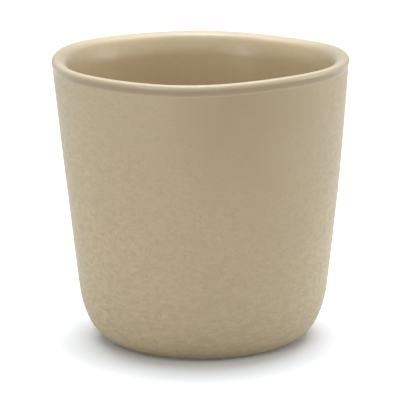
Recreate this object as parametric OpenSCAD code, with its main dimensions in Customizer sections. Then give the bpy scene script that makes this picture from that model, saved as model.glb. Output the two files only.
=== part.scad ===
// Handleless stoneware coffee mug: one turned clay cup under three coats of glaze.
// The cup stands on z = 0 and its axis is Z.
// The outline is a chain of tangent arcs: slope, crown, lip, wall, belly, heel and flat foot ring.
// Each coat of glaze lies on the clay, between the outline and a parallel to it.

/* [Cup] */
// Outside diameter at the rim, over the glaze
rim_d = 86; // [76:0.5:110]
// Overall height, over the glaze
height = 83.4; // [62:0.2:104]
// Thickness of the clay low in the wall
wall_t = 4.8; // [2.8:0.1:6.4]
// Thickness of the clay floor above the recess
floor_t = 5.2; // [3:0.1:9]

/* [Outline] */
// Lean of the wall at the rim, in degrees from upright
rim_lean = 4.5; // [3:0.1:5.5]
// Lean of the wall where it meets the belly, in degrees
wall_lean = 6.6; // [6:0.1:8.5]
// Lean where the belly meets the heel, in degrees
belly_lean = 27.4; // [20:0.2:36]
// Radius of the belly, the easy curve low in the wall
belly_r = 28; // [20:0.5:40]
// Radius of the heel, the tight curve between the belly and the foot
heel_r = 10.7; // [6:0.1:14]
// Radius inside, between the bore and the floor
bowl_r = 15; // [8:0.5:17]

/* [Lip] */
// Radius of the lip's outer edge, in the clay
lip_r = 0.7; // [0.5:0.05:1.5]
// Radius of the crown, from the top of the lip down its inside
crown_r = 3; // [2:0.1:4]
// Lean of the inside where the crown ends, in degrees from upright
crown_lean = 22; // [15:1:35]
// Radius of the slope that leads on from there into the bore
slope_r = 16; // [5:0.5:18]

/* [Foot] */
// Width of the flat ring that the cup stands on
foot_w = 4.2; // [2:0.1:5.5]
// Radius of the inner edge of that ring
foot_edge_r = 0.5; // [0.2:0.1:0.6]
// Depth of the recess inside the ring
recess_h = 1.4; // [1.2:0.1:3]

/* [Glaze] */
// Thickness of the satin glaze on the inside and over the lip
liner_t = 0.4; // [0.2:0.05:0.6]
// Thickness of the matte glaze on the outside and in the recess
matte_t = 0.3; // [0.2:0.05:0.5]
// Distance that the satin glaze runs down outside, below the widest line of the lip
band_h = 2; // [0.8:0.1:10]
// Height of the bare clay above the foot
bare_h = 0.9; // [0.5:0.1:4]

/* [Hidden] */

// Straight pieces along each arc, and the facets drawn round the axis
wall_steps = 8;
curve_steps = 12;
lip_steps = 7;
edge_steps = 4;
$fn = 120;

function dir(a) = [cos(a), sin(a)];

// Lip: a tight outer edge, then from its top a crown and an easy slope down the inside
lip_c = [rim_d / 2 - lip_r - liner_t, height - lip_r - liner_t];
crown_c = lip_c - [0, crown_r - lip_r];
slope_c = crown_c + (slope_r - crown_r) * dir(-crown_lean);
neck_t = lip_r + slope_r - (slope_c.x - lip_c.x);

// Wall: a long arc whose radius brings the foot to z = 0
wall_r = (lip_c.y - heel_r - lip_r * sin(rim_lean) + belly_r * sin(wall_lean)
          - (belly_r - heel_r) * sin(belly_lean)) / (sin(wall_lean) - sin(rim_lean));
wall_c = lip_c - (wall_r - lip_r) * dir(-rim_lean);
belly_c = wall_c + (wall_r - belly_r) * dir(-wall_lean);
heel_c = belly_c + (belly_r - heel_r) * dir(-belly_lean);

// Bore: the same long arc, turned below the slope so that the wall goes from neck_t to wall_t
floor_z = recess_h + floor_t;
bore_lean = rim_lean + atan((wall_t - neck_t) / (slope_c.y - floor_z));
bore_c = slope_c - (wall_r + slope_r) * dir(-bore_lean);
bowl_lean = asin((bore_c.y - bowl_r - floor_z) / (wall_r - bowl_r));
bowl_c = bore_c + (wall_r - bowl_r) * dir(-bowl_lean);

// Foot: a flat ring where the heel ends, then a round edge and a cove up into the recess
ring_r = heel_c.x - foot_w;
cove_r = recess_h - foot_edge_r;
cove_c = [ring_r - foot_edge_r - cove_r, foot_edge_r];
cove_turn = 45;

// Where the satin glaze ends on the wall, and the matte glaze on the heel
line_lean = asin((wall_c.y - lip_c.y + band_h) / wall_r);
bare_lean = asin(1 - bare_h / heel_r);

// Points of an arc, both ends included
function arc(c, r, a0, a1, steps) = [for (i = [0:steps]) c + r * dir(a0 + (a1 - a0) * i / steps)];

// Stretches end to end: each one after the first starts on the last point of the one before
function chain(stretches) = [
    for (k = [0:len(stretches) - 1])
        for (i = [min(k, 1):len(stretches[k]) - 1]) stretches[k][i]
];

function back(path) = [for (i = [len(path) - 1:-1:0]) path[i]];

// The outline in four stretches, from the middle of the inside floor to the middle of the recess.
// Each takes t, the distance outside the clay.
function inside(t) = chain([
    [[0, floor_z + t], [bowl_c.x, floor_z + t]],
    arc(bowl_c, bowl_r - t, -90, -bowl_lean, curve_steps),
    arc(bore_c, wall_r - t, -bowl_lean, -bore_lean, wall_steps),
    arc(slope_c, slope_r + t, 180 - bore_lean, 180 - crown_lean, edge_steps),
    arc(crown_c, crown_r + t, 180 - crown_lean, 90, lip_steps),
    arc(lip_c, lip_r + t, 90, -rim_lean, lip_steps),
    arc(wall_c, wall_r + t, -rim_lean, -line_lean, edge_steps)
]);

function outside(t) = chain([
    arc(wall_c, wall_r + t, -line_lean, -wall_lean, wall_steps),
    arc(belly_c, belly_r + t, -wall_lean, -belly_lean, curve_steps),
    arc(heel_c, heel_r + t, -belly_lean, -bare_lean, curve_steps)
]);

function foot() = chain([
    arc(heel_c, heel_r, -bare_lean, -90, edge_steps),
    [[heel_c.x, 0], [ring_r, 0]],
    arc([ring_r, foot_edge_r], foot_edge_r, 270, 180, edge_steps),
    arc(cove_c, cove_r, 0, cove_turn, edge_steps)
]);

function recess(t) = chain([
    arc(cove_c, cove_r - t, cove_turn, 90, edge_steps),
    [[cove_c.x, recess_h - t], [0, recess_h - t]]
]);

module turned(path) {
    rotate_extrude() polygon(path);
}

module coat(on_clay, surface) {
    turned(concat(on_clay, back(surface)));
}

// Fired clay: the cup itself, bare only at the heel and the foot ring
module stoneware_body() {
    color("#C9B595") turned(chain([inside(0), outside(0), foot(), recess(0)]));
}

// Satin glaze inside, over the lip and a little way down the outside
module liner_glaze() {
    color("#C1B190") coat(inside(0), inside(liner_t));
}

// Matte glaze outside, from the edge of the satin glaze to the bare heel
module outer_glaze() {
    color("#AB9D7E") coat(outside(0), outside(matte_t));
}

// Matte glaze on the roof of the recess under the cup
module recess_glaze() {
    color("#AB9D7E") coat(recess(0), recess(matte_t));
}

stoneware_body();
liner_glaze();
outer_glaze();
recess_glaze();
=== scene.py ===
import math

import bmesh
import bpy
from mathutils import Matrix, Vector, noise


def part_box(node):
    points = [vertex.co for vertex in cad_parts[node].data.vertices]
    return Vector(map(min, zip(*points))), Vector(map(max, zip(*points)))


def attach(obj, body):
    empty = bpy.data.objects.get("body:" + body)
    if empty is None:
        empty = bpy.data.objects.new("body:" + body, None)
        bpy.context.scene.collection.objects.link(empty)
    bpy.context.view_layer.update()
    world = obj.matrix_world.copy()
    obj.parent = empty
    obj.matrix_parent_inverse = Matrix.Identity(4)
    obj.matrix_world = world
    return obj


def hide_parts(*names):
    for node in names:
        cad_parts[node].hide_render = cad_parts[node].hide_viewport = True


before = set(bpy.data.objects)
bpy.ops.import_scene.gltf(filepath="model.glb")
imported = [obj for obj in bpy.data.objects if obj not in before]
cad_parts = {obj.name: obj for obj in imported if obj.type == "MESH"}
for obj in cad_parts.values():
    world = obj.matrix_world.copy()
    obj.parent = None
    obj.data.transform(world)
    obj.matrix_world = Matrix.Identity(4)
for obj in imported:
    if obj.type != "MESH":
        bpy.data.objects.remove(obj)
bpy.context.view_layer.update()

MM = 0.001

# The mug's outline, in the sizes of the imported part, with each lean in degrees from upright
RIM_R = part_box("liner_glaze")[1].x
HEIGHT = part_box("liner_glaze")[1].z
WALL_T = 4.8 * MM
FLOOR_T = 5.2 * MM
RIM_LEAN = 4.5
WALL_LEAN = 6.6
BELLY_LEAN = 27.4
BELLY_R = 28 * MM
HEEL_R = 10.7 * MM
BOWL_R = 15 * MM
LIP_R = 0.7 * MM
CROWN_R = 3 * MM
CROWN_LEAN = 22
SLOPE_R = 16 * MM
FOOT_W = 4.2 * MM
FOOT_EDGE_R = 0.5 * MM
RECESS_H = 1.4 * MM
COVE_TURN = 45
LINER_T = 0.4 * MM
MATTE_T = 0.3 * MM
BAND_H = 2 * MM
BARE_H = 0.9 * MM

# The potter's hand: the rim stands to one side, from a height up and with an easy start
RIM_SHIFT = -0.53 * MM
SHIFT_FROM = 41 * MM
SHIFT_EASE = 0.15
# The rim waves up and down twice round, and is dented five times round
RIM_WAVE = -0.37 * MM
RIM_WAVE_TURN = math.radians(-27)
RIM_DENT = -0.18 * MM
RIM_DENT_TURN = math.radians(105)
WAVE_FROM = 0.5 * HEIGHT
# The glaze line wanders twice round, and a share of that three times round
LINE_WANDER = 0.13 * MM
LINE_THIRD_SHARE = 0.35
LINE_THIRD_TURN = 0.8
LINE_REACH = 2.5 * MM
# The wall ripples
WALL_RIPPLE = 0.04 * MM
RIPPLE_SIZE = 22 * MM

# Height over which the satin glaze rolls down onto the matte glaze
ROLL_H = 1.5 * MM
# Tone stored at the top of the lip, and how far below the top it reaches one inside
LIP_TONE = 0.5
CROWN_TONE_H = 1.7 * MM

# Steps round the axis and along the outline
TURN_STEPS = 180
LONG_STEPS = 20
CURVE_STEPS = 14
EDGE_STEPS = 6
SHARP_EDGE = math.radians(35)
MERGE_DIST = 0.001 * MM


def ray(angle):
    """The unit vector at an angle above level, in the upright plane of the outline."""
    return Vector((math.cos(math.radians(angle)), 0, math.sin(math.radians(angle))))


def sine(angle):
    return math.sin(math.radians(angle))


def lean_of(sine_share):
    return math.degrees(math.asin(sine_share))


# Lip: a tight outer edge, then from its top a crown and an easy slope down the inside
LIP_C = Vector((RIM_R - LIP_R - LINER_T, 0, HEIGHT - LIP_R - LINER_T))
CROWN_C = LIP_C - Vector((0, 0, CROWN_R - LIP_R))
SLOPE_C = CROWN_C + (SLOPE_R - CROWN_R) * ray(-CROWN_LEAN)
NECK_T = LIP_R + SLOPE_R - (SLOPE_C.x - LIP_C.x)

# Wall: a long arc whose radius brings the foot to the floor
DROP = LIP_C.z - HEEL_R - LIP_R * sine(RIM_LEAN) + BELLY_R * sine(WALL_LEAN)
WALL_R = (DROP - (BELLY_R - HEEL_R) * sine(BELLY_LEAN)) / (sine(WALL_LEAN) - sine(RIM_LEAN))
WALL_C = LIP_C - (WALL_R - LIP_R) * ray(-RIM_LEAN)
BELLY_C = WALL_C + (WALL_R - BELLY_R) * ray(-WALL_LEAN)
HEEL_C = BELLY_C + (BELLY_R - HEEL_R) * ray(-BELLY_LEAN)

# Bore: the same long arc, turned so that the clay goes from NECK_T to WALL_T
FLOOR_Z = RECESS_H + FLOOR_T
BORE_LEAN = RIM_LEAN + math.degrees(math.atan((WALL_T - NECK_T) / (SLOPE_C.z - FLOOR_Z)))
BORE_C = SLOPE_C - (WALL_R + SLOPE_R) * ray(-BORE_LEAN)
BOWL_LEAN = lean_of((BORE_C.z - BOWL_R - FLOOR_Z) / (WALL_R - BOWL_R))
BOWL_C = BORE_C + (WALL_R - BOWL_R) * ray(-BOWL_LEAN)

# Foot: a flat ring where the heel ends, then a round edge and a cove up into the recess
RING_R = HEEL_C.x - FOOT_W
FOOT_EDGE_C = Vector((RING_R, 0, FOOT_EDGE_R))
COVE_R = RECESS_H - FOOT_EDGE_R
COVE_C = Vector((RING_R - RECESS_H, 0, FOOT_EDGE_R))

# Where the satin glaze ends on the wall, and the matte glaze on the heel
LINE_LEAN = lean_of((WALL_C.z - LIP_C.z + BAND_H) / WALL_R)
LINE_Z = (WALL_C + WALL_R * ray(-LINE_LEAN)).z
BARE_LEAN = lean_of(1 - BARE_H / HEEL_R)


def arc(centre, radius, start, end, steps, outward=1):
    """Places along an arc, each with the direction that leaves the clay there."""
    angles = [start + (end - start) * i / steps for i in range(steps + 1)]
    return [(centre + radius * ray(a), outward * ray(a)) for a in angles]


def level(r_from, r_to, z, up):
    """A level stretch of the outline, from one radius to another."""
    return [(Vector((r, 0, z)), Vector((0, 0, up))) for r in (r_from, r_to)]


def joined(*stretches):
    """Stretches end to end, each after the first without its first place."""
    return list(stretches[0]) + [place for s in stretches[1:] for place in s[1:]]


def inside():
    """The clay from the middle of the floor inside, up the bore and over the lip."""
    return joined(
        level(0, BOWL_C.x, FLOOR_Z, 1),
        arc(BOWL_C, BOWL_R, -90, -BOWL_LEAN, CURVE_STEPS, -1),
        arc(BORE_C, WALL_R, -BOWL_LEAN, -BORE_LEAN, LONG_STEPS, -1),
        arc(SLOPE_C, SLOPE_R, 180 - BORE_LEAN, 180 - CROWN_LEAN, CURVE_STEPS),
        arc(CROWN_C, CROWN_R, 180 - CROWN_LEAN, 90, CURVE_STEPS),
        arc(LIP_C, LIP_R, 90, -RIM_LEAN, CURVE_STEPS),
    )


def band():
    """The clay under the satin glaze outside, down to the glaze line."""
    return arc(WALL_C, WALL_R, -RIM_LEAN, -LINE_LEAN, CURVE_STEPS)


def outside():
    """The clay under the matte glaze, from the glaze line to the bare heel."""
    return joined(
        arc(WALL_C, WALL_R, -LINE_LEAN, -WALL_LEAN, LONG_STEPS),
        arc(BELLY_C, BELLY_R, -WALL_LEAN, -BELLY_LEAN, CURVE_STEPS),
        arc(HEEL_C, HEEL_R, -BELLY_LEAN, -BARE_LEAN, CURVE_STEPS),
    )


def foot():
    """The bare clay, from the heel over the foot ring and up into the cove."""
    return joined(
        arc(HEEL_C, HEEL_R, -BARE_LEAN, -90, EDGE_STEPS),
        level(HEEL_C.x, RING_R, 0, -1),
        arc(FOOT_EDGE_C, FOOT_EDGE_R, 270, 180, EDGE_STEPS),
        arc(COVE_C, COVE_R, 0, COVE_TURN, EDGE_STEPS, -1),
    )


def recess():
    """The clay from the cove to the middle of the recess under the mug."""
    return joined(
        arc(COVE_C, COVE_R, COVE_TURN, 90, EDGE_STEPS, -1),
        level(COVE_C.x, 0, RECESS_H, -1),
    )


def smooth(share):
    """From 0 to 1 with an easy start and an easy end."""
    share = min(1, max(0, share))
    return share * share * (3 - 2 * share)


def eased(share):
    """Zero below zero and one at one, with an easy start."""
    rise = math.hypot(max(share, 0), SHIFT_EASE) - SHIFT_EASE
    return rise / (math.hypot(1, SHIFT_EASE) - SHIFT_EASE)


def rim_wave(around):
    """How far the rim rises above its mean height at an angle round the axis."""
    wave = RIM_WAVE * math.sin(2 * around + RIM_WAVE_TURN)
    return wave + RIM_DENT * math.cos(5 * around + RIM_DENT_TURN)


def line_dip(around):
    """How far the glaze line dips below its mean height at an angle round the axis."""
    twice_round = math.cos(2 * around + math.pi)
    thrice_round = math.sin(3 * around + LINE_THIRD_TURN)
    return LINE_WANDER * (twice_round + LINE_THIRD_SHARE * thrice_round)


def ripple(co):
    """The wall's ripple at a point, square to the axis, with none where the mug stands."""
    out = Vector((co.x, co.y, 0))
    if out.length <= MERGE_DIST:
        return Vector((0, 0, 0))
    off_foot = min(1, co.z / (RIPPLE_SIZE / 2))
    return out.normalized() * (WALL_RIPPLE * off_foot * noise.noise(co / RIPPLE_SIZE))


def thrown(co):
    """A point of the true outline, moved to where the thrown and glazed mug has it."""
    around = math.atan2(co.y, co.x)
    shift = RIM_SHIFT * eased((co.z - SHIFT_FROM) / (HEIGHT - SHIFT_FROM))
    rise = rim_wave(around) * max(0, (co.z - WAVE_FROM) / (HEIGHT - WAVE_FROM)) ** 2
    dip = line_dip(around) * smooth(1 - abs(co.z - LINE_Z) / LINE_REACH)
    return co + ripple(co) + Vector((shift, 0, rise - dip))


def spun(places, closed):
    """A bmesh of the outline spun round the axis, with its poles and its seam merged."""
    bm = bmesh.new()
    verts = [bm.verts.new(p) for p in places]
    ends = zip(verts, verts[1:] + verts[:1]) if closed else zip(verts, verts[1:])
    edges = [bm.edges.new(pair) for pair in ends]
    bmesh.ops.spin(bm, geom=verts + edges, cent=(0, 0, 0), axis=(0, 0, 1), dvec=(0, 0, 0),
                   angle=math.tau, steps=TURN_STEPS, use_merge=True)
    bmesh.ops.remove_doubles(bm, verts=bm.verts, dist=MERGE_DIST)
    bmesh.ops.recalc_face_normals(bm, faces=bm.faces)
    return bm


def store_tone(bm, tone):
    """Keeps on each point the number that tone gives for its place."""
    layer = bm.verts.layers.float.new("tone")
    for v in bm.verts:
        v[layer] = tone(v.co)


def turned(name, places, closed=False, tone=None):
    """A piece turned from an outline, then moved to where the potter's hand left it."""
    bm = spun(places, closed)
    if tone is not None:
        store_tone(bm, tone)
    for v in bm.verts:
        v.co = thrown(v.co)
    mesh = bpy.data.meshes.new(name)
    bm.to_mesh(mesh)
    bm.free()
    mesh.shade_smooth()
    mesh.set_sharp_from_angle(angle=SHARP_EDGE)
    piece = bpy.data.objects.new(name, mesh)
    bpy.context.scene.collection.objects.link(piece)
    return piece


def rolled(place):
    """Thickness of the satin glaze outside the lip: a soft roll that ends on the matte glaze."""
    return MATTE_T + (LINER_T - MATTE_T) * smooth((place.z - LINE_Z) / ROLL_H)


def lip_tone(place):
    """From 0 at the glaze line to LIP_TONE at the top of the lip, and on to 1 inside the crown."""
    if math.hypot(place.x, place.y) < LIP_C.x:
        return min(1, LIP_TONE + (1 - LIP_TONE) * (HEIGHT - place.z) / CROWN_TONE_H)
    return LIP_TONE * max(0, place.z - LINE_Z) / (HEIGHT - LINE_Z)


def matte_faces(stretch):
    """The two faces of a matte coat: on the clay, and back along its surface."""
    on_clay = [p for p, out in stretch]
    surface = [p + out * MATTE_T for p, out in stretch]
    return on_clay + surface[::-1]


def clay_cup():
    stretch = joined(inside(), band(), outside(), foot(), recess())
    return turned("clay_cup", [p for p, out in stretch])


def satin_liner():
    bore = inside()
    lip_side = band()[1:]
    on_clay = [p for p, out in bore + lip_side]
    surface = [p + out * LINER_T for p, out in bore]
    surface += [p + out * rolled(p) for p, out in lip_side]
    return turned("satin_liner", on_clay + surface[::-1], tone=lip_tone)


def matte_coat():
    return turned("matte_coat", matte_faces(outside()), closed=True)


def recess_coat():
    return turned("recess_coat", matte_faces(recess()))


class Marks:
    """Marks in a finish: their colour, laid where a noise goes from start to full."""

    def __init__(self, colour, size, detail, start, full, amount=1.0, stretch=(1, 1, 1), tilt=0.0):
        self.colour = colour
        self.size = size
        self.detail = detail
        self.start = start
        self.full = full
        self.amount = amount
        self.stretch = stretch
        self.tilt = tilt


class PaintedShade:
    """A soft patch of painted shade round a point of the mug."""

    def __init__(self, colour, middle, reach, stretch=(1, 1, 1), amount=1.0):
        self.colour = colour
        self.middle = middle
        self.reach = reach
        self.stretch = stretch
        self.amount = amount


# The matte glaze. Colours are in the 0 to 255 of a picture.
OAT = (174, 159, 127)
OAT_ROUGHNESS = 0.5
OAT_ROUGHNESS_LOW = 0.46
OAT_ROUGHNESS_HIGH = 0.56
OAT_CLOUDS = Marks((167, 152, 122), size=26 * MM, detail=3, start=0.35, full=0.7, amount=0.4)
OAT_MOTTLE = Marks((155, 140, 111), size=1.5 * MM, detail=3, start=0.4, full=0.65, amount=0.5,
                   stretch=(1.4, 1.4, 0.8))
OAT_GRAIN = Marks((140, 125, 97), size=0.5 * MM, detail=2, start=0.48, full=0.72, amount=0.5,
                  stretch=(1.3, 1.3, 0.7))
MOTTLE_DEPTH = 0.05 * MM
GRAIN_DEPTH = 0.03 * MM
# Painted shade: it is painted darker and yellower to the left, and again at the left edge, where
# the light falls so: where that starts and where it is full
OAT_LEFT_PAINTED_SHADE = (172, 155, 121)
LEFT_START = 5 * MM
LEFT_FULL = -40 * MM
OAT_LEFT_EDGE_PAINTED_SHADE = (161, 145, 109)
LEFT_EDGE_START = -32 * MM
LEFT_EDGE_FULL = -41 * MM
# Towards the rim it is painted a little darker as painted shade, and it is smoother, where this
# share of its grain is left
OAT_TOP_PAINTED_SHADE = (170, 155, 124)
TOP_START = 45 * MM
TOP_FULL = 72 * MM
TOP_GRAIN_LEFT = 0.6
# Painted shade: it is painted darker in front, all over, then low down, then under the rim
FRONT_PAINTED_SHADES = (
    PaintedShade((158, 142, 112), middle=(14 * MM, -RIM_R, 66 * MM), reach=72 * MM),
    PaintedShade((156, 140, 111), middle=(11 * MM, -RIM_R, 38 * MM), reach=40 * MM,
          stretch=(1, 1, 2), amount=0.6),
    PaintedShade((145, 129, 98), middle=(14 * MM, -RIM_R, HEIGHT), reach=30 * MM, stretch=(1, 1, 1.5)),
)
# Lines of the trimming tool, nearly level and rising to the right, which fade out up the wall
TRIM_LINES = Marks((154, 140, 111), size=1 * MM, detail=3, start=0.48, full=0.72,
                   stretch=(5, 5, 0.7), tilt=math.radians(6))
TRIM_DEPTH = -0.02 * MM
TRIM_FULL = 8 * MM
TRIM_NONE = 30 * MM
# Dark specks
SPECK = (130, 116, 92)
SPECK_GAP = 3.4 * MM
SPECK_R = 0.18 * MM
SPECK_SOFTNESS = 0.4

# The satin glaze
HONEY = (191, 175, 142)
HONEY_SPECULAR = 0.65
HONEY_ROUGHNESS = 0.36
HONEY_ROUGHNESS_LOW = 0.33
HONEY_ROUGHNESS_HIGH = 0.39
HONEY_CLOUDS = Marks((188, 171, 138), size=18 * MM, detail=3, start=0.35, full=0.7, amount=0.5)
HONEY_MOTTLE = Marks((182, 165, 131), size=1.8 * MM, detail=2, start=0.45, full=0.7, amount=0.4,
                     stretch=(1.6, 1.6, 0.8))
HONEY_WAVE_SIZE = 2.2 * MM
HONEY_WAVE_DEPTH = 0.02 * MM
# Its colours by tone, each with the tone where it starts and the tone where it is full:
# the top of the lip, painted darker as painted shade, the band outside, and the glaze line
LIP_TINTS = (
    ((178, 164, 134), 1.0, 0.6),
    ((135, 117, 86), 0.41, 0.25),
    ((162, 146, 115), 0.1, 0.0),
)
# Painted shade: it is painted darker at the left and right ends of the lip
LIP_END_PAINTED_SHADES = [
    PaintedShade((155, 141, 112), middle=(end * RIM_R, 0, HEIGHT), reach=30 * MM, stretch=(1, 1, 0.35))
    for end in (-1, 1)
]

# Bare clay
BUFF = (200, 181, 150)
BUFF_ROUGHNESS = 0.88
BUFF_GRIT = Marks((165, 143, 112), size=0.4 * MM, detail=3, start=0.5, full=0.8, amount=0.6)
GRIT_DEPTH = 0.06 * MM

# The range that the middle of a noise keeps to
NOISE_LOW = 0.35
NOISE_HIGH = 0.65

# A Mix node's sockets for colours
MIX_UNDER = 6
MIX_OVER = 7
MIX_RESULT = 2


def srgb(colour):
    """A colour given in the 0 to 255 of a picture, as the linear colour that a shader takes."""
    def linear(value):
        share = value / 255
        return share / 12.92 if share <= 0.04045 else ((share + 0.055) / 1.055) ** 2.4
    return (*(linear(value) for value in colour), 1)


class Finish:
    """A node material, built up from patterns that read the piece's own coordinates."""

    def __init__(self, name, colour, roughness):
        self.material = bpy.data.materials.new(name)
        self.material.use_nodes = True
        self.tree = self.material.node_tree
        self.shader = self.tree.nodes["Principled BSDF"]
        self.place = self.tree.nodes.new("ShaderNodeTexCoord").outputs["Object"]
        self.shader.inputs["Base Color"].default_value = srgb(colour)
        self.shader.inputs["Roughness"].default_value = roughness
        self.colour = None

    def link(self, source, target):
        self.tree.links.new(source, target)

    def stretched(self, stretch, tilt=0.0):
        """The piece's own coordinates, drawn out on each axis and tilted to rise to the right."""
        mapping = self.tree.nodes.new("ShaderNodeMapping")
        mapping.vector_type = "TEXTURE"
        mapping.inputs["Scale"].default_value = stretch
        mapping.inputs["Rotation"].default_value = (0, -tilt, 0)
        self.link(self.place, mapping.inputs["Vector"])
        return mapping.outputs["Vector"]

    def along(self, axis):
        """How far a point lies along an axis of the mug."""
        node = self.tree.nodes.new("ShaderNodeSeparateXYZ")
        self.link(self.place, node.inputs[0])
        return node.outputs[axis]

    def attribute(self, name):
        """A number stored on the piece's own points."""
        node = self.tree.nodes.new("ShaderNodeAttribute")
        node.attribute_name = name
        return node.outputs["Fac"]

    def noise(self, size, detail, stretch=(1, 1, 1), tilt=0.0):
        """Noise whose spots are about one size across."""
        node = self.tree.nodes.new("ShaderNodeTexNoise")
        node.inputs["Scale"].default_value = 1 / size
        node.inputs["Detail"].default_value = detail
        self.link(self.stretched(stretch, tilt), node.inputs["Vector"])
        return node.outputs["Fac"]

    def specks(self, apart, radius):
        """One inside small round specks about one gap apart, and zero between them."""
        node = self.tree.nodes.new("ShaderNodeTexVoronoi")
        node.inputs["Scale"].default_value = 1 / apart
        self.link(self.place, node.inputs["Vector"])
        core = (1 - SPECK_SOFTNESS) * radius / apart
        edge = (1 + SPECK_SOFTNESS) * radius / apart
        return self.ramp(node.outputs["Distance"], core, edge, before=1, after=0)

    def near(self, middle, reach, stretch):
        """One at a point, falling softly to zero at its reach, which the stretch draws out."""
        node = self.tree.nodes.new("ShaderNodeVectorMath")
        node.operation = "DISTANCE"
        node.inputs[1].default_value = [a / b for a, b in zip(middle, stretch)]
        self.link(self.stretched(stretch), node.inputs[0])
        fall = self.tree.nodes.new("ShaderNodeMapRange")
        fall.interpolation_type = "SMOOTHSTEP"
        fall.inputs["From Min"].default_value = reach
        fall.inputs["From Max"].default_value = 0
        self.link(node.outputs["Value"], fall.inputs["Value"])
        return fall.outputs["Result"]

    def both(self, one, other):
        """Two patterns multiplied."""
        node = self.tree.nodes.new("ShaderNodeMath")
        node.operation = "MULTIPLY"
        self.link(one, node.inputs[0])
        self.link(other, node.inputs[1])
        return node.outputs[0]

    def ramp(self, value, start, end, before=0.0, after=1.0):
        """before up to the start, after from the end on, and a straight slope between them."""
        node = self.tree.nodes.new("ShaderNodeMapRange")
        node.inputs["From Min"].default_value = start
        node.inputs["From Max"].default_value = end
        node.inputs["To Min"].default_value = before
        node.inputs["To Max"].default_value = after
        self.link(value, node.inputs["Value"])
        return node.outputs["Result"]

    def tint(self, amount, colour):
        """Lays a colour over what is there, by an amount from 0 to 1."""
        node = self.tree.nodes.new("ShaderNodeMix")
        node.data_type = "RGBA"
        self.link(amount, node.inputs["Factor"])
        under = node.inputs[MIX_UNDER]
        if self.colour is None:
            under.default_value = self.shader.inputs["Base Color"].default_value
        else:
            self.link(self.colour, under)
        node.inputs[MIX_OVER].default_value = srgb(colour)
        self.colour = node.outputs[MIX_RESULT]

    def marked(self, marks, fade=None):
        """Lays marks over what is there, and gives back their noise and the amount laid."""
        pattern = self.noise(marks.size, marks.detail, marks.stretch, marks.tilt)
        amount = self.ramp(pattern, marks.start, marks.full, after=marks.amount)
        if fade is not None:
            amount = self.both(amount, fade)
        self.tint(amount, marks.colour)
        return pattern, amount

    def lay_painted_shade(self, shade):
        """Lays a soft patch of painted shade over what is there."""
        closeness = self.near(shade.middle, shade.reach, shade.stretch)
        self.tint(self.ramp(closeness, 0, 1, after=shade.amount), shade.colour)

    def relief(self, parts):
        """Bump from (height pattern, depth in metres) pairs, one on top of the other."""
        normal = None
        for height, depth in parts:
            node = self.tree.nodes.new("ShaderNodeBump")
            node.inputs["Distance"].default_value = depth
            self.link(height, node.inputs["Height"])
            if normal is not None:
                self.link(normal, node.inputs["Normal"])
            normal = node.outputs["Normal"]
        self.link(normal, self.shader.inputs["Normal"])

    def sheen_varies(self, value, low, high):
        """Roughness that follows a noise, from low to high."""
        roughness = self.ramp(value, NOISE_LOW, NOISE_HIGH, low, high)
        self.link(roughness, self.shader.inputs["Roughness"])

    def done(self):
        self.link(self.colour, self.shader.inputs["Base Color"])
        return self.material


def painted_shade_by_place(finish):
    """Painted shade on the matte glaze, changing slowly over the mug: left and right, low and
    high, and in front.
    """
    finish.tint(finish.ramp(finish.along("X"), LEFT_START, LEFT_FULL), OAT_LEFT_PAINTED_SHADE)
    finish.tint(finish.ramp(finish.along("X"), LEFT_EDGE_START, LEFT_EDGE_FULL), OAT_LEFT_EDGE_PAINTED_SHADE)
    finish.tint(finish.ramp(finish.along("Z"), TOP_START, TOP_FULL), OAT_TOP_PAINTED_SHADE)
    for shade in FRONT_PAINTED_SHADES:
        finish.lay_painted_shade(shade)


def matte_glaze():
    finish = Finish("oat_matte_glaze", OAT, OAT_ROUGHNESS)
    painted_shade_by_place(finish)
    smoother_up = finish.ramp(finish.along("Z"), TOP_START, TOP_FULL, 1, TOP_GRAIN_LEFT)
    low_down = finish.ramp(finish.along("Z"), TRIM_NONE, TRIM_FULL)
    finish.marked(OAT_CLOUDS)
    mottle, _ = finish.marked(OAT_MOTTLE, fade=smoother_up)
    grain, _ = finish.marked(OAT_GRAIN, fade=smoother_up)
    _, trim_lines = finish.marked(TRIM_LINES, fade=low_down)
    finish.tint(finish.specks(SPECK_GAP, SPECK_R), SPECK)
    finish.sheen_varies(mottle, OAT_ROUGHNESS_LOW, OAT_ROUGHNESS_HIGH)
    bumps = finish.both(mottle, smoother_up)
    pits = finish.both(grain, smoother_up)
    finish.relief([(bumps, MOTTLE_DEPTH), (pits, GRAIN_DEPTH), (trim_lines, TRIM_DEPTH)])
    return finish.done()


def satin_glaze():
    finish = Finish("honey_satin_glaze", HONEY, HONEY_ROUGHNESS)
    finish.shader.inputs["Specular IOR Level"].default_value = HONEY_SPECULAR
    finish.marked(HONEY_CLOUDS)
    mottle, _ = finish.marked(HONEY_MOTTLE)
    tone = finish.attribute("tone")
    # The first of these tints paints shade on the top of the lip
    for colour, start, full in LIP_TINTS:
        finish.tint(finish.ramp(tone, start, full), colour)
    for shade in LIP_END_PAINTED_SHADES:
        finish.lay_painted_shade(shade)
    finish.sheen_varies(mottle, HONEY_ROUGHNESS_LOW, HONEY_ROUGHNESS_HIGH)
    finish.relief([(finish.noise(HONEY_WAVE_SIZE, detail=1), HONEY_WAVE_DEPTH)])
    return finish.done()


def bare_clay():
    finish = Finish("bare_buff_clay", BUFF, BUFF_ROUGHNESS)
    grit, _ = finish.marked(BUFF_GRIT)
    finish.relief([(grit, GRIT_DEPTH)])
    return finish.done()


def dress(piece, material, node):
    """Gives a piece its finish and sets it in the place of its CAD node."""
    piece.data.materials.append(material)
    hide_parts(node)
    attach(piece, "root")


# The floor and the sky, each as a light and as the camera or a gloss sees it
PAPER = (0.95, 0.95, 0.95, 1)
PAPER_SEEN = (1.01, 1.05, 1.105, 1)
SKY_LIGHT = (0.35, 0.35, 0.35, 1)
SKY_SEEN = (1, 1, 1, 1)
FLOOR_REACH = 4.0

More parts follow.
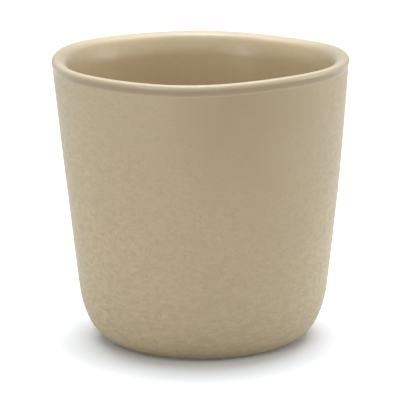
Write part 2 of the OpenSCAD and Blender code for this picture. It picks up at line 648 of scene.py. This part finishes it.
# Softboxes: azimuth and elevation in degrees, width and height in metres, and power in watts.
# Azimuth 0 is the camera's side and 90 the right.
SOFTBOXES = (
    ("top_lamp", 0, 88, 0.24, 0.24, 3.1),
    ("top_softbox", 180, 80, 1.3, 0.35, 5.7),
    ("back_top_softbox", 180, 60, 1.3, 0.35, 4.2),
    ("back_softbox", 180, 38, 1.3, 0.3, 0.8),
    ("right_top_softbox", 90, 68, 0.6, 0.5, 0.7),
    ("left_top_softbox", -90, 68, 0.6, 0.5, 0.4),
    ("right_softbox", 95, 3, 0.32, 0.45, 2.65),
    ("right_front_softbox", 66, 10, 0.7, 0.6, 1.1),
    ("front_left_softbox", -38, 8, 0.22, 0.32, 2.15),
    ("front_softbox", 4, 42, 0.4, 0.2, 0.65),
)
SOFTBOX_DISTANCE = 1.0

# The camera, in degrees and in times the rim's radius
CAMERA_ELEVATION = 13.685
CAMERA_ROLL = -0.299
CAMERA_RIM_RADII = 18
SENSOR_W = 36
CLIP_START = 0.01
CLIP_END = 20
# Where the photograph's frame has the mug, in its pixels
FRAME_PX = 400
RIM_R_PX = 147.0
AIM_X_PX = 202.85
AIM_Y_PX = 196.2
# The point that the camera and the lamps face
AIM = Vector((0, 0, HEIGHT / 2))


def seen_or_lit(tree, lit, seen):
    """A colour that is one where the camera or a gloss sees it, and another as a light."""
    path = tree.nodes.new("ShaderNodeLightPath")
    looks = path.outputs["Is Camera Ray"]
    for kind in ("Is Glossy Ray", "Is Transmission Ray"):
        either = tree.nodes.new("ShaderNodeMath")
        either.operation = "MAXIMUM"
        tree.links.new(looks, either.inputs[0])
        tree.links.new(path.outputs[kind], either.inputs[1])
        looks = either.outputs[0]
    pick = tree.nodes.new("ShaderNodeMix")
    pick.data_type = "RGBA"
    pick.inputs[MIX_UNDER].default_value = lit
    pick.inputs[MIX_OVER].default_value = seen
    tree.links.new(looks, pick.inputs["Factor"])
    return pick.outputs[MIX_RESULT]


def white_paper():
    material = bpy.data.materials.new("white_paper")
    material.use_nodes = True
    tree = material.node_tree
    shader = tree.nodes["Principled BSDF"]
    shader.inputs["Roughness"].default_value = 1.0
    shader.inputs["Specular IOR Level"].default_value = 0.0
    tree.links.new(seen_or_lit(tree, PAPER, PAPER_SEEN), shader.inputs["Base Color"])
    return material


def white_floor():
    """A pale floor that keeps the mug's shadow, and shows white where nothing shades it."""
    bm = bmesh.new()
    bmesh.ops.create_grid(bm, x_segments=1, y_segments=1, size=FLOOR_REACH)
    mesh = bpy.data.meshes.new("floor")
    bm.to_mesh(mesh)
    bm.free()
    mesh.materials.append(white_paper())
    floor = bpy.data.objects.new("floor", mesh)
    bpy.context.scene.collection.objects.link(floor)


def sky():
    """Even light from all round, and white where the camera looks past the floor."""
    world = bpy.data.worlds.new("studio")
    world.use_nodes = True
    bpy.context.scene.world = world
    tree = world.node_tree
    colour = tree.nodes["Background"].inputs["Color"]
    tree.links.new(seen_or_lit(tree, SKY_LIGHT, SKY_SEEN), colour)


def direction(azimuth, elevation):
    """The unit vector from the mug towards a lamp or the camera."""
    a = math.radians(azimuth)
    e = math.radians(elevation)
    return Vector((math.sin(a) * math.cos(e), -math.cos(a) * math.cos(e), math.sin(e)))


def softbox(name, azimuth, elevation, width, height, power):
    """A soft lamp that faces the mug."""
    lamp = bpy.data.lights.new(name, "AREA")
    lamp.shape = "RECTANGLE"
    lamp.size = width
    lamp.size_y = height
    lamp.energy = power
    away = direction(azimuth, elevation)
    holder = bpy.data.objects.new(name, lamp)
    holder.location = AIM + away * SOFTBOX_DISTANCE
    holder.rotation_euler = away.to_track_quat("Z", "Y").to_euler()
    bpy.context.scene.collection.objects.link(holder)


def camera():
    """The photograph's view: a long lens, a little above the rim, with a slight roll."""
    data = bpy.data.cameras.new("camera")
    data.sensor_width = SENSOR_W
    data.lens = RIM_R_PX * CAMERA_RIM_RADII / FRAME_PX * SENSOR_W
    data.shift_x = (FRAME_PX / 2 - AIM_X_PX) / FRAME_PX
    data.shift_y = (AIM_Y_PX - FRAME_PX / 2) / FRAME_PX
    data.clip_start = CLIP_START
    data.clip_end = CLIP_END
    away = direction(0, CAMERA_ELEVATION)
    place = Matrix.Translation(AIM + away * (CAMERA_RIM_RADII * RIM_R))
    facing = away.to_track_quat("Z", "Y").to_matrix().to_4x4()
    roll = Matrix.Rotation(math.radians(CAMERA_ROLL), 4, "Z")
    holder = bpy.data.objects.new("camera", data)
    holder.matrix_world = place @ facing @ roll
    bpy.context.scene.collection.objects.link(holder)
    bpy.context.scene.camera = holder


camera()
matte = matte_glaze()
dress(clay_cup(), bare_clay(), "stoneware_body")
dress(satin_liner(), satin_glaze(), "liner_glaze")
dress(matte_coat(), matte, "outer_glaze")
dress(recess_coat(), matte, "recess_glaze")
white_floor()
sky()
for box in SOFTBOXES:
    softbox(*box)
bpy.context.scene.view_settings.view_transform = "Standard"
